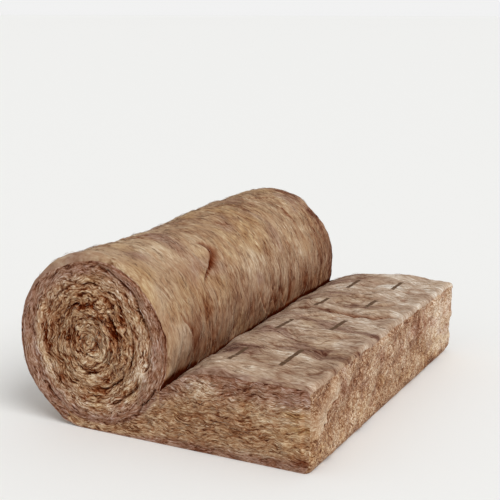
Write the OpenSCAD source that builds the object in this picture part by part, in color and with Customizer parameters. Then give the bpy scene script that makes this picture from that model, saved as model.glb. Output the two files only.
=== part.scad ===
// Glass wool insulation roll, partly unrolled, lying on the floor.
// One mat of glass mineral wool: a wound part, and a laid part that runs out of it
// along the floor to a straight cut end.
// Millimetres. X runs along the laid mat, Y across its width (the roll's axis), Z up.
// The origin is at the centre of the bounding box's base.

/* [Mat] */
// Width of the mat, which is the length of the roll
mat_width = 1200; // [600:10:1300]
// Thickness of the laid mat, once it has sprung back
mat_thickness = 245; // [190:5:300]
// Length of mat that lies on the floor, from below the roll's core to the cut end
laid_length = 690; // [560:10:1200]
// Radius of the top edge at the cut end
cut_edge_radius = 14; // [6:1:20]

/* [Roll] */
// Radius of the outer turn where it leaves the floor
outer_radius = 290; // [240:5:330]
// Thickness of one turn, pressed between its neighbours
turn_thickness = 50; // [36:1:70]
// Radius at which the innermost turn ends
core_radius = 26; // [16:1:40]
// Width of the roll as a share of its height
roll_width_share = 0.9225; // [0.88:0.0025:1.05]
// Height that the roll has sagged onto the floor under its own weight
sag = 20; // [5:1:30]
// Height of the wound core above the middle of the outer turn
core_lift = 14; // [0:1:20]
// Radius of the soft shoulder round each end of the roll
shoulder_radius = 26; // [10:1:36]

/* [Nip] */
// Angle round the roll, from the floor over the top, at which it meets the laid mat
nip_angle = 293; // [286:1:298]
// Distance past the nip at which the laid mat has reached its full thickness
recovery_length = 210; // [120:5:260]

/* [Turn lines] */
// Width of the gap between two turns on the roll's ends
turn_gap = 6; // [3:0.5:10]
// Depth of the gap between two turns
turn_gap_depth = 14; // [6:1:30]

/* [Hidden] */

outline_step = 6;              // degrees round the roll between outline points
gap_step = 10;                 // degrees round the roll between points of the turn lines
nip_curve_parts = 8;           // straight parts of the rise behind the nip
edge_parts = 3;                // straight parts of the cut end's top edge
shoulder_parts = 4;            // straight parts of the soft shoulder
shoulder_run_in = 45;          // degrees over which the shoulder grows from the floor up
past_surface = 1;              // how far a cut reaches beyond the face that it opens

axis_height = outer_radius - sag;
lift_off_angle = acos(axis_height / outer_radius);
gap_start_angle = nip_angle - 4;
gap_end_angle = lift_off_angle + 360 * (outer_radius - core_radius) / turn_thickness;

// Radius of the mat's outer face, which shrinks by one turn's thickness in each turn from the floor
function face_radius(angle) = outer_radius - turn_thickness * (angle - lift_off_angle) / 360;

// Point at an angle and a radius round the core, which rises towards the middle
function around(angle, radius) =
    let (lift = core_lift * (1 - radius / outer_radius))
    [-roll_width_share * radius * sin(angle), axis_height + lift - radius * cos(angle)];

// The outer turn, from the nip over the top and down to where it leaves the floor
function outer_turn(inset) =
    let (parts = ceil((nip_angle - lift_off_angle) / outline_step))
    [for (i = [parts : -1 : 0])
        let (angle = lift_off_angle + (nip_angle - lift_off_angle) * i / parts)
        let (run_in = min(1, (angle - lift_off_angle) / shoulder_run_in))
        around(angle, face_radius(angle) - inset * run_in)];

// The rise of the laid mat from the nip to its full thickness
function nip_rise(inset) =
    let (nip = around(nip_angle, face_radius(nip_angle) - inset))
    let (top = mat_thickness - inset / 2)
    [for (i = [nip_curve_parts : -1 : 1])
        let (share = i / nip_curve_parts)
        [nip.x + recovery_length * share, nip.y + (top - nip.y) * sin(90 * share)]];

// The cut end, from the floor to the rounded top edge
function cut_end(inset) =
    let (x = laid_length - inset / 2)
    let (top = mat_thickness - inset / 2)
    concat([[x, 0]],
        [for (i = [0 : edge_parts])
            let (angle = 90 * i / edge_parts)
            [x - cut_edge_radius * (1 - cos(angle)), top - cut_edge_radius * (1 - sin(angle))]]);

// The section of the mat, drawn in by an inset that rounds its two long edges
function section(inset) = concat(cut_end(inset), nip_rise(inset), outer_turn(inset));

// Middle of the section from left to right, which the origin stands below
function middle(points) = (min([for (p = points) p.x]) + max([for (p = points) p.x])) / 2;

full_section = section(0);
section_middle = middle(full_section);

// Places across the width, each with the inset of the section there
shoulder_rings = [for (i = [0 : shoulder_parts])
    let (angle = 90 * i / shoulder_parts)
    [mat_width / 2 - shoulder_radius * (1 - sin(angle)), shoulder_radius * (1 - cos(angle))]];
rings = concat(
    [for (i = [shoulder_parts : -1 : 0]) [-shoulder_rings[i][0], shoulder_rings[i][1]]],
    shoulder_rings);

// A closed skin through one section for each ring, with each end a fan round a hub that sees its whole outline
module mat_body() {
    sections = [for (ring = rings) section(ring[1])];
    count = len(sections[0]);
    last = len(rings) - 1;
    hub = around(nip_angle, face_radius(nip_angle)) / 2;
    skin = [for (r = [0 : last]) for (p = sections[r]) [p.x - section_middle, rings[r][0], p.y]];
    hubs = [for (r = [0, last]) [hub.x - section_middle, rings[r][0], hub.y]];
    sides = [for (r = [0 : last - 1]) for (i = [0 : count - 1])
        let (a = r * count + i, b = r * count + (i + 1) % count)
        each [[a, a + count, b + count], [a, b + count, b]]];
    first_end = [for (i = [0 : count - 1]) [len(skin), i, (i + 1) % count]];
    last_end = [for (i = [0 : count - 1]) [len(skin) + 1, last * count + (i + 1) % count, last * count + i]];
    polyhedron(concat(skin, hubs), concat(sides, first_end, last_end), convexity = 8);
}

// The line between the turns, wound from the nip to the core
module turn_line() {
    last = floor(gap_end_angle / gap_step);
    angles = concat([gap_start_angle], [for (i = [ceil(nip_angle / gap_step) : last]) i * gap_step]);
    outside = [for (angle = angles) around(angle, face_radius(angle) + turn_gap / 2)];
    inside = [for (i = [len(angles) - 1 : -1 : 0]) around(angles[i], face_radius(angles[i]) - turn_gap / 2)];
    polygon([for (p = concat(outside, inside)) [p.x - section_middle, p.y]]);
}

// The gap between the turns, cut into both ends of the roll
module turn_gaps() {
    for (side = [-1, 1])
        translate([0, side * (mat_width / 2 - turn_gap_depth / 2 + past_surface / 2), 0])
            rotate([90, 0, 0])
                linear_extrude(height = turn_gap_depth + past_surface, center = true)
                    turn_line();
}

// The whole mat
module wool_mat() {
    color("#ad8a6a")
        difference() {
            mat_body();
            turn_gaps();
        }
}

wool_mat();
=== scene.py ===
"""Glass wool insulation roll, partly unrolled: one mat, wound at one end and laid out flat to its cut end.

All lengths are metres and all angles degrees. X runs along the laid mat, Y across it, Z up. An angle round
the roll starts at the floor and runs up the side away from the laid mat and over the top, to the nip where
the roll meets the laid mat. The near end is the one towards -Y.
"""

import math

import bpy
import numpy as np
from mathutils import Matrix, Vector


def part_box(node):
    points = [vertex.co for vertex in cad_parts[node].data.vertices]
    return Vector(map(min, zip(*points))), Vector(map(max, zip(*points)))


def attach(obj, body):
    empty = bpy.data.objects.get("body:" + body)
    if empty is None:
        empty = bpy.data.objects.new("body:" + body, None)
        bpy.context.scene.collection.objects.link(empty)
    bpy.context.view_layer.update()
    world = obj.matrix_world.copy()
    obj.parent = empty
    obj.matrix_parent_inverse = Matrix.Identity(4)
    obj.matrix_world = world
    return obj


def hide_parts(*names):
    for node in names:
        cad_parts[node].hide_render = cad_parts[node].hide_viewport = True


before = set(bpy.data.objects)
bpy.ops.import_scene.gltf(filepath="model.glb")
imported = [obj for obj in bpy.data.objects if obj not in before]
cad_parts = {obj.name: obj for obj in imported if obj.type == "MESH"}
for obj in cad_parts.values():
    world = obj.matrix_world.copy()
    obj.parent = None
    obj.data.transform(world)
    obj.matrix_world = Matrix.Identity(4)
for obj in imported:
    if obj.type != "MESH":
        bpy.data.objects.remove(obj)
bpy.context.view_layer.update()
mat_low, mat_high = (np.array(corner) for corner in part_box("wool_mat"))
half_width = mat_high[1]


# ---------------------------------------------------------------- outer turn
# The last turn of the wound mat, from the nip over the top to the floor: long glass fibres in a brown
# binder, rolled up so tight that each turn is a fifth of its free thickness. Its face is a brushed skin of
# fibres that follow the turn, with soft creases where the mat was pulled tight.
ROLL_RADIUS = 0.290  # of the outer turn, where it leaves the floor
TURN = 0.050  # one turn, pressed between its neighbours
ROLL_WIDTH_SHARE = 0.9225  # of its height
SAG = 0.020  # how far the roll has sunk onto the floor
CORE_LIFT = 0.014  # how far the core lies above the middle of the outer turn
LAID_LENGTH = 0.690  # from below the roll's core to the cut end

roll_x = mat_high[0] - LAID_LENGTH
axis_height = ROLL_RADIUS - SAG
core_height = axis_height + CORE_LIFT
lift_off = math.degrees(math.acos(axis_height / ROLL_RADIUS))
lift_off_x = roll_x - ROLL_WIDTH_SHARE * ROLL_RADIUS * math.sin(math.radians(lift_off))

# Large odd numbers, and shifts in bits, that scatter the heights of neighbouring cells.
CELL_PRIMES = (73856093, 19349663, 83492791)
SEED_PRIME = 974711
SCATTER = ((15, 2246822519), (13, 3266489917))


def bumps(x, y, z, seed):
    """Smooth bumps and hollows from -1 to 1, about one of each for every two units of x, y and z.

    A hash of the cell and the seed gives each corner of a cell its height, the same in every run. So
    0.002 * bumps(x / 0.03, y / 0.006, 0, 7) is 2 mm high, in strands 30 mm long and 6 mm wide, of seed 7.
    """
    x, y, z = np.broadcast_arrays(x, y, z)
    low = [np.floor(a).astype(np.int64) for a in (x, y, z)]
    ease = [(a - b) ** 2 * (3 - 2 * (a - b)) for a, b in zip((x, y, z), low)]
    total = np.zeros(x.shape)
    for corner in range(8):
        step = [corner >> i & 1 for i in range(3)]
        mixed = np.full(x.shape, seed * SEED_PRIME, np.int64)
        for cell, up, prime in zip(low, step, CELL_PRIMES):
            mixed ^= (cell + up) * prime
        with np.errstate(over="ignore"):
            for shift, prime in SCATTER:
                mixed = ((mixed ^ (mixed >> shift)) * prime) & 0xFFFFFFFF
        weight = np.prod([e if s else 1 - e for e, s in zip(ease, step)], axis=0)
        total += weight * (((mixed ^ (mixed >> 16)) & 0xFFFF) / 32767.5 - 1)
    return total


def layers(x, y, z, seed, count=3):
    """Bumps with half-size bumps of half the height on them, count times over."""
    return sum(bumps(x * 2**i, y * 2**i, z * 2**i, seed + i) / 2**i for i in range(count)) / 1.5


def ramp(value, start, end):
    """0 below start, 1 past end and a smooth rise between them."""
    share = np.clip((value - start) / (end - start), 0, 1)
    return share * share * (3 - 2 * share)


def bell(value, middle, width):
    """1 at the middle, a third at a width from it on either side, and 0 far off."""
    return np.exp(-(((value - middle) / width) ** 2))


def face_radius(angle):
    """The mat's outer face shrinks by one turn in each turn from the floor."""
    return ROLL_RADIUS - TURN * (angle - lift_off) / 360


def around(angle, radius):
    """x and z at an angle and a radius round the core, which sits a little above the outer turn's middle."""
    turn = np.radians(angle)
    x = roll_x - ROLL_WIDTH_SHARE * radius * np.sin(turn)
    z = axis_height + CORE_LIFT * (1 - radius / ROLL_RADIUS) - radius * np.cos(turn)
    return x, z


NIP_MIDDLE = 292.5  # where the roll meets the laid mat, halfway across
NIP_TWIST_NEAR = -6.0  # degrees for each metre across, over the near half
NIP_TWIST_FAR = -9.5  # and over the far half, where the roll has crept up the mat


def nip_angle(y):
    """The roll meets the laid mat along a line that twists and wanders by a degree or two."""
    straight = NIP_MIDDLE + np.where(y < 0, NIP_TWIST_NEAR, NIP_TWIST_FAR) * y
    return straight + 1.6 * bumps(y / 0.11, 0.5, 0.5, 11) + 0.7 * bumps(y / 0.04, 0.5, 0.5, 12)


TUCK = 0.012  # how far the turn is drawn in just past where it leaves the floor
TUCK_ANGLE = 37
TOP_DIP = 0.024  # how far the top has sunk over the near half
TOP_DIP_ANGLE = 160
NEAR_SLACK = 0.020  # how far the turn stands out above the nip at the near end


def skin_radius(angle, y):
    """Radius of the outer turn's face, which has slackened above the nip at the near end."""
    slack = NEAR_SLACK * ramp(-y, -0.05, half_width) * ramp(angle, 232, 268)
    tuck = TUCK * bell(angle, TUCK_ANGLE, 15) * ramp(angle, lift_off, lift_off + 9)
    dip = TOP_DIP * bell(angle, TOP_DIP_ANGLE, 42) * ramp(-y, -0.25, 0.15)
    dip = dip * (1 - 0.35 * ramp(-y, 0.40, 0.60))
    return face_radius(angle) + slack - tuck - dip


# Each end of the roll has a soft round shoulder.
SHOULDER = 0.026
SHOULDER_RUN_IN = 45  # degrees over which it grows from the floor up
SHOULDER_SIDES = 0.15  # its share at the roll's sides
SHOULDER_TOP = 1.10  # and over its top
SHOULDER_MIDDLES = (168, 205)  # angles at which it is largest, at the near end and the far end


def shoulder_inset(angle, y, inset):
    """How far the soft shoulder draws the outer turn in: most over the top, little at the sides."""
    over_top = bell(angle, np.where(y < 0, *SHOULDER_MIDDLES), 48)
    run_in = ramp(angle, lift_off, lift_off + SHOULDER_RUN_IN)
    return inset * (SHOULDER_SIDES + (SHOULDER_TOP - SHOULDER_SIDES) * over_top) * run_in


# Rows of points across the mat, closer together on the shoulders. Each has the inset by which the shoulder
# draws the mat in there.
SHOULDER_PARTS = 7
ROWS = 318
shoulder_turn = np.linspace(0, math.pi / 2, SHOULDER_PARTS + 1)
shoulder_y = half_width - SHOULDER * (1 - np.sin(shoulder_turn))
flat_y = np.linspace(-shoulder_y[0], shoulder_y[0], ROWS + 1)
row_y = np.concatenate([-shoulder_y[:0:-1], flat_y, shoulder_y[1:]])
drawn_in = SHOULDER * (1 - np.cos(shoulder_turn))
row_inset = np.concatenate([drawn_in[:0:-1], np.zeros(ROWS + 1), drawn_in[1:]])

LIFT_OFF_RISE = 0.010  # how far the mat's lower edge curls up where the roll leaves the floor
CORNER_FLARE = 0.009  # how far the far top corner of the cut end stands out
DENT_DEPTH = 0.0035
DENT_SIZE = 0.09
NOTCH_DEPTH = 0.0040  # of the ragged line of a trimmed edge
NOTCH_SIZE = 0.028


def soft_shift(points):
    """The slow dents and swellings that run through the whole mat, and the ragged line of its trimmed edges.

    Both die out at the floor, where the only shift is a soft lift along the line at which the roll leaves it.
    Each direction has its own dents and its own ragged line.
    """
    x, y, z = points[..., 0], points[..., 1], points[..., 2]
    free = ramp(z, 0, 0.05)
    at_end = ramp(np.abs(y), half_width - 0.030, half_width)
    at_edge = np.maximum(at_end, ramp(x, mat_high[0] - 0.045, mat_high[0] - 0.01))
    shifts = [
        DENT_DEPTH * layers(x / DENT_SIZE, y / DENT_SIZE, z / DENT_SIZE, seed, 2)
        + NOTCH_DEPTH * at_edge * layers(x / NOTCH_SIZE, y / NOTCH_SIZE, z / NOTCH_SIZE, seed + 5, 2)
        for seed in (21, 31, 41)
    ]
    shift = np.stack(shifts, axis=-1) * free[..., None]
    flare = CORNER_FLARE * ramp(y, 0.45, half_width) * ramp(x, mat_high[0] - 0.06, mat_high[0])
    shift[..., 0] += flare * ramp(z, 0.08, 0.22)
    shift[..., 2] += LIFT_OFF_RISE * bell(x - lift_off_x, 0.002, 0.024) * (1 - ramp(z, 0.01, 0.06))
    return shift


SKIN_COLUMNS = 272
SKIN_MEAN_RADIUS = 0.27
FIBRE_SLANT = 0.10  # metres across the mat for each metre round the roll

# Each crease: angles round the roll, the place across it at each, and its depth.
CREASES = (
    (
        (211, 215, 219, 223, 227, 231, 235, 239),
        (-0.215, -0.203, -0.196, -0.200, -0.217, -0.244, -0.275, -0.300),
        0.011,
    ),
    ((249, 254, 259, 266), (-0.322, -0.316, -0.335, -0.375), 0.0035),
    ((250, 256, 262, 268), (-0.512, -0.500, -0.476, -0.470), 0.006),
    ((262, 282), (-0.015, 0.048), 0.006),
    ((264, 284), (0.080, 0.118), 0.007),
    ((262, 284), (0.145, 0.190), 0.006),
    ((266, 286), (0.290, 0.330), 0.005),
    ((170, 188), (0.110, 0.230), 0.005),
    ((180, 198), (0.320, 0.445), 0.006),
    ((196, 208), (-0.020, 0.030), 0.004),
)

# Each patch of another shade: its angle round the roll, its place across it, half its size in both, how
# much darker (or lighter, below 0) it is, and how much painted shade, darker and redder again, it adds.
SKIN_PATCHES = (
    (256, -0.336, 11, 0.026, 0.10, 0.28),
    (270, -0.440, 13, 0.030, 0.12, 0.35),
    (228, -0.214, 8, 0.016, 0.05, 0.25),
    (279, -0.360, 9, 0.045, 0.10, 0.30),
    (271, 0.082, 12, 0.012, 0.16, 0.40),
    (263, 0.148, 13, 0.011, 0.16, 0.35),
    (270, 0.236, 13, 0.014, 0.15, 0.35),
    (272, 0.352, 13, 0.018, 0.14, 0.35),
    (184, 0.224, 9, 0.060, 0.16, 0.05),
    (205, 0.138, 8, 0.045, 0.14, 0.05),
    (192, 0.050, 6, 0.050, 0.12, 0.05),
    (210, -0.108, 11, 0.035, 0.12, 0.05),
    (242, 0.500, 26, 0.035, 0.10, 0.15),
    (267, -0.526, 15, 0.030, -0.12, 0.0),
    (222, -0.300, 12, 0.050, -0.10, 0.0),
    (232, 0.060, 14, 0.080, -0.08, 0.0),
    (200, -0.360, 14, 0.090, -0.08, 0.0),
)

# Points of the skin, a row for each place across the mat and a column for each share of the turn.
part = np.linspace(0, 1, SKIN_COLUMNS + 1)[None, :]
y = row_y[:, None] + 0 * part
inset = row_inset[:, None]
nip = nip_angle(y)
angle = nip + (lift_off - nip) * part
x, z = around(angle, skin_radius(angle, y) - shoulder_inset(angle, y, inset))
skin = np.stack([x, y, z], axis=-1)
skin_outline = {"near": skin[0].copy(), "far": skin[-1].copy()}

# The fibres run round the roll, but slant a little across it and drift.
arc = np.radians(angle) * SKIN_MEAN_RADIUS
slant = y + FIBRE_SLANT * arc + 0.010 * bumps(arc / 0.12, y / 0.12, 0, 61)
outward = np.stack([-np.sin(np.radians(angle)), 0 * y, -np.cos(np.radians(angle))], axis=-1)
turned = np.clip((np.abs(y) - (half_width - SHOULDER)) / SHOULDER, 0, 1)
outward = outward * np.sqrt(1 - turned**2)[..., None] + np.stack([0 * y, np.sign(y) * turned, 0 * y], axis=-1)
skin_free = ramp(angle, lift_off, lift_off + 14) * ramp(nip - angle, 0, 7)
skin_free = skin_free * ramp(half_width - np.abs(y), 0, 0.010)

# Relief, from slow swellings down to strands 6 mm wide: a real bundle of fibres is 1 to 2 mm wide, and these
# are as fine as the mesh can hold. The creases that follow are where the mat was pulled tight.
swell = 0.0055 * bumps(arc / 0.15, y / 0.09, 0, 62) + 0.0030 * bumps(arc / 0.06, y / 0.035, 0, 60)
bands = 0.0026 * layers(arc / 0.07, slant / 0.017, 0, 63)
strands = 0.0016 * layers(arc / 0.035, slant / 0.006, 0, 64, 2)
crease_line = bumps(arc / 0.17, slant / 0.075, 0.3, 65) + 0.3 * bumps(arc / 0.03, y / 0.02, 0.3, 59)
crease = 0.7 * bell(crease_line, 0, 0.10) * ramp(bumps(arc / 0.10, y / 0.10, 0.7, 66), 0.25, 0.7)
lip = 0 * crease
for number, (turned_to, across, depth) in enumerate(CREASES):
    beside = y - np.interp(angle, turned_to, across) + 0.005 * bumps(arc / 0.02, y / 0.02, number, 58)
    ends = ramp(angle, turned_to[0] - 2, turned_to[0] + 3)
    ends = ends * (1 - ramp(angle, turned_to[-1] - 3, turned_to[-1] + 2))
    along = (angle - turned_to[0]) / (turned_to[-1] - turned_to[0])
    widest = np.clip(np.sin(math.pi * np.clip(along, 0, 1)), 0, 1)
    width = (0.35 + 0.9 * widest) * np.where(beside < 0, 0.8, 2.2) * depth + 0.002
    crease = np.maximum(crease, depth / 0.010 * bell(beside, 0, width) * ends)
    lip = lip + 0.5 * depth * bell(beside, -1.7 * depth, 1.2 * depth) * ends
gather = ramp(angle, 240, nip - 2) * bumps(arc / 0.16, slant / 0.022, 0.1, 67)
gather = gather * (1 - 0.65 * ramp(-y, 0.15, 0.40))
skin_relief = (swell + bands + strands - 0.0065 * crease + lip + 0.0050 * gather) * skin_free
skin = skin + outward * skin_relief[..., None] + soft_shift(skin)

# Painted shade in the creases, gathers and nip, from a painted highlight of -0.5 on a ridge to 1.4 deep in
# the nip.
skin_shade_and_red = np.clip(0.7 * crease * skin_free + 0.35 * np.clip(-gather, 0, 1), 0, 1)
# The painted shade of the nip reaches further at the near end.
skin_nip_shade_reach = 1 + 0.9 * ramp(-y, 0.30, 0.50)
to_nip = nip - angle
nip_shade = 1.5 * (1 - ramp(to_nip, 1.5 * skin_nip_shade_reach, 6 * skin_nip_shade_reach)) + 0.30 * (1 - ramp(to_nip, 4, 30))
skin_shade_and_red = np.maximum(skin_shade_and_red, nip_shade)
# Raised bands and strands are painted lighter: painted highlights.
skin_shade_and_red = np.clip(skin_shade_and_red - (60 * bands + 80 * strands) * skin_free, -0.5, 1.4)

# Where the binder is mauve: in slow patches, near the nip, in the creases and along the far rim.
skin_mauve = ramp(layers(arc / 0.12, y / 0.10, 0.2, 68), 0.1, 0.8) * 0.8
skin_mauve = np.maximum(skin_mauve, ramp(angle, 225, 265) * 0.35)
skin_mauve = np.maximum(skin_mauve, 0.6 * crease)
trimmed = ramp(np.abs(y), half_width - 0.012, half_width) * (1 - ramp(angle, 130, 180) * (y < 0))
skin_mauve = np.maximum(skin_mauve, trimmed)
skin_mauve = skin_mauve * ramp(nip - angle, 8, 24)
# Along the far edge, over the top, the skin is painted darker and redder.
skin_shade_and_red = skin_shade_and_red + 0.45 * ramp(y, half_width - 0.024, half_width - 0.004) * ramp(angle, 150, 200)

# Lighter and darker patches, with calm stretches where the skin is one even shade.
skin_calm = ramp(layers(arc / 0.13, slant / 0.10, 0.2, 55, 2) + 0.5 * ramp(-y, 0.1, 0.4), 0.0, 0.6)
skin_tone = 0.15 * layers(arc / 0.10, slant / 0.07, 0.9, 69) + 0.05 * skin_calm + 0.01
# The swollen lip beside each crease is painted lighter: a painted highlight.
skin_tone = skin_tone - 0.05 * ramp(angle, 235, 285) + 14 * lip * skin_free + 0.04 * ramp(angle, 255, 282)
# Pleats near the nip, which have no relief, are painted in shade.
pleat_shade = ramp(layers(arc / 0.12, slant / 0.036, 0.3, 50, 2), -0.3, 0.6)
pleat_shade = pleat_shade * ramp(angle, 254, 276) * (1 - ramp(-y, 0.40, 0.52))
skin_shade_and_red = skin_shade_and_red + 0.17 * pleat_shade
skin_patch_shade = 0 * skin_tone
for number, (turned_to, across, half_turn, half_across, darker, redder) in enumerate(SKIN_PATCHES):
    beside = (slant - across - FIBRE_SLANT * math.radians(turned_to) * SKIN_MEAN_RADIUS) / half_across
    patch = np.exp(-(((angle - turned_to) / half_turn) ** 2) - beside**2)
    patch = patch * (1 + 0.7 * layers(arc / 0.045, slant / 0.012, number, 54, 2))
    skin_tone = skin_tone - darker * patch
    skin_patch_shade = skin_patch_shade + redder * patch
skin_shade_and_red = np.clip(skin_shade_and_red + skin_patch_shade, -0.5, 1.4)
# Along the far rim the skin is painted darker, redder and more mauve.
far_rim = ramp(y, half_width - 0.085, half_width - 0.040) * (1 - ramp(angle, 278, 290))
far_rim = far_rim * (0.7 + 0.6 * bumps(arc / 0.05, y / 0.03, 0.5, 53))
skin_mauve = np.clip(np.maximum(skin_mauve, 0.9 * far_rim), 0, 1)
skin_shade_and_red = skin_shade_and_red + 0.22 * far_rim
skin_tone = skin_tone - 0.14 * far_rim
skin_gold = (0.30 + 0.55 * ramp(layers(arc / 0.13, y / 0.12, 0.4, 70), -0.1, 0.6)) * (1 - 0.7 * skin_mauve)


def grid_faces(rows, columns, flip=False):
    """Four-sided faces of a grid of points that is stored row by row."""
    corner = (np.arange(rows - 1)[:, None] * columns + np.arange(columns - 1)[None, :]).ravel()
    faces = np.stack([corner, corner + 1, corner + columns + 1, corner + columns], axis=1)
    return faces[:, ::-1] if flip else faces


def make_piece(name, points, faces, material, values):
    """A smooth-shaded mesh that rides on the one body and stands for the CAD mat.

    values are what its finish reads at each point: where the point lies in the fibres ("lay"), how much
    painted shade it gets (below 0, a painted highlight), how much lighter, how mauve, how golden and how
    lively its strands are.
    """
    mesh = bpy.data.meshes.new(name)
    mesh.from_pydata(points.tolist(), [], [list(map(int, face)) for face in faces])
    values.setdefault("lively", np.ones(len(points)))
    for key, value in values.items():
        kind, slot = ("FLOAT", "value") if np.ndim(value) == 1 else ("FLOAT_VECTOR", "vector")
        mesh.attributes.new(key, kind, "POINT").data.foreach_set(slot, np.ravel(value).astype(np.float32))
    mesh.polygons.foreach_set("use_smooth", [True] * len(mesh.polygons))
    mesh.materials.append(material)
    mesh.validate()
    piece = bpy.data.objects.new(name, mesh)
    bpy.context.scene.collection.objects.link(piece)
    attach(piece, "root")
    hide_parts("wool_mat")
    return piece


def linear(sheet):
    """Linear colour of an sRGB hex value."""
    parts = [int(sheet[i : i + 2], 16) / 255 for i in (1, 3, 5)]
    return [p / 12.92 if p <= 0.04045 else ((p + 0.055) / 1.055) ** 2.4 for p in parts] + [1]


def add(tree, kind, links=None, **settings):
    """Adds a shader node. links gives its sockets a value or another node's socket."""
    node = tree.nodes.new("ShaderNode" + kind)
    for key, value in settings.items():
        setattr(node, key, value)
    for key, value in (links or {}).items():
        if isinstance(value, bpy.types.NodeSocket):
            tree.links.new(value, node.inputs[key])
        else:
            node.inputs[key].default_value = value
    return node


# Glass wool is matt: glass has an IOR of 1.52, but its tangled fibres throw the light every way. Its strands
# run from the binder's brown to bare cream fibres, and shade deep between the fibres is painted on, red
# brown.
FACE_BROWNS = ("#5e3420", "#7d563c", "#957459", "#a8896d", "#b3977c", "#c0a98f", "#d3c1aa", "#e8dccb")
BROWN_PLACES = (0.0, 0.15, 0.30, 0.45, 0.58, 0.72, 0.88, 1.0)
# The colours laid over the browns: red brown where shade is painted on, and where the wool is golden and
# where it is mauve.
STAINS = (("painted_shade_and_red", "#d8946c"), ("gold", "#f6eacc"), ("mauve", "#d9cbd4"))
ASKEW = 13  # degrees by which half of the strands lie across the others
BUNDLE_SIZE = 2.7  # the size of a bundle of strands, over that of a strand
HAIR_SIZE = 0.42  # the size of a single hair, over that of a strand
SPLIT_SIZE = 2.0  # the size of a split between bundles, over that of a strand
# A full painted shade pushes a point this far down the browns.
DEEP_SHADE = 0.5  # how far down the browns a full hollow lies, as a share of them all
STRAND_RELIEF = 0.004  # how far a strand stands out of the gaps beside it
GLASS_IOR = 1.52
ROUGHNESS = (0.78, 1.0)
GLOSS = 0.08  # on the open face
FUZZ = 0.05  # sheen on the open face


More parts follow.
